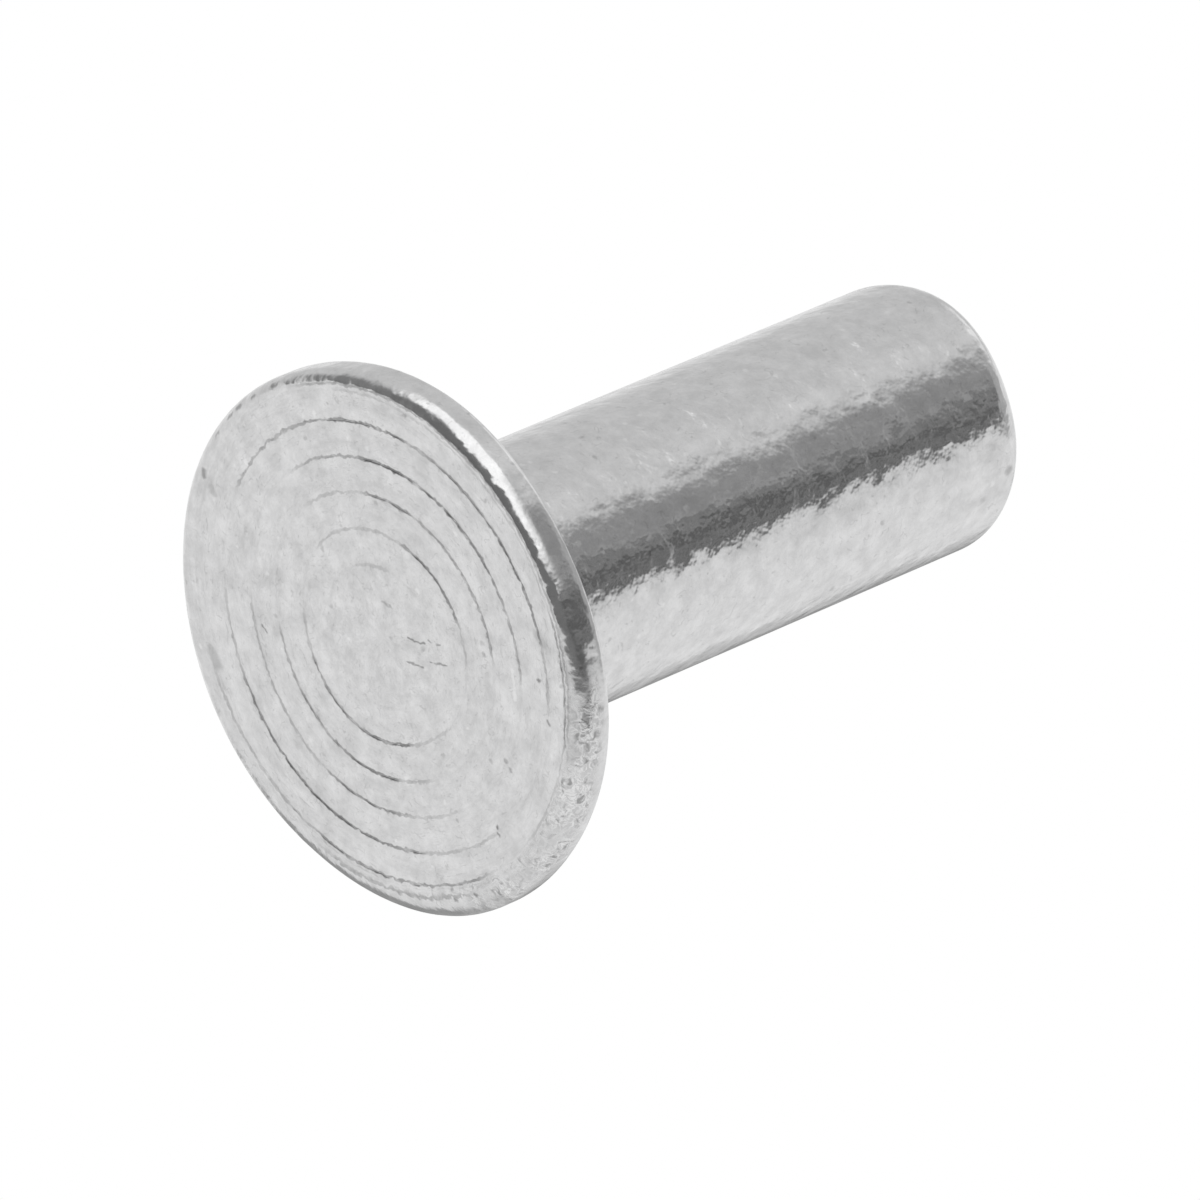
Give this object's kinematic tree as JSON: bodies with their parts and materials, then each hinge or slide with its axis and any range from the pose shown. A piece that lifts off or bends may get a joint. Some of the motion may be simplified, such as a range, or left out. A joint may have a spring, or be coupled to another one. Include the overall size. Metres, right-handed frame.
{
  "type": "hollow rivet",
  "caption": "Hollow rivet with a wide thin flat head, a straight shank and a blind bore that opens at the tail, for clinching linings, straps and sheet.",
  "frame": {"origin": "centre of the tail end, which the rivet stands on", "axes": "+Z along the rivet's axis from the open tail to the head"},
  "size_m": [0.012, 0.012, 0.0168],
  "materials": {
    "aluminium": "cold-headed bare metal, softly frosted, with ring marks on the face"
  },
  "bodies": {
    "root": {"rivet": "aluminium"}
  },
  "joints": []
}
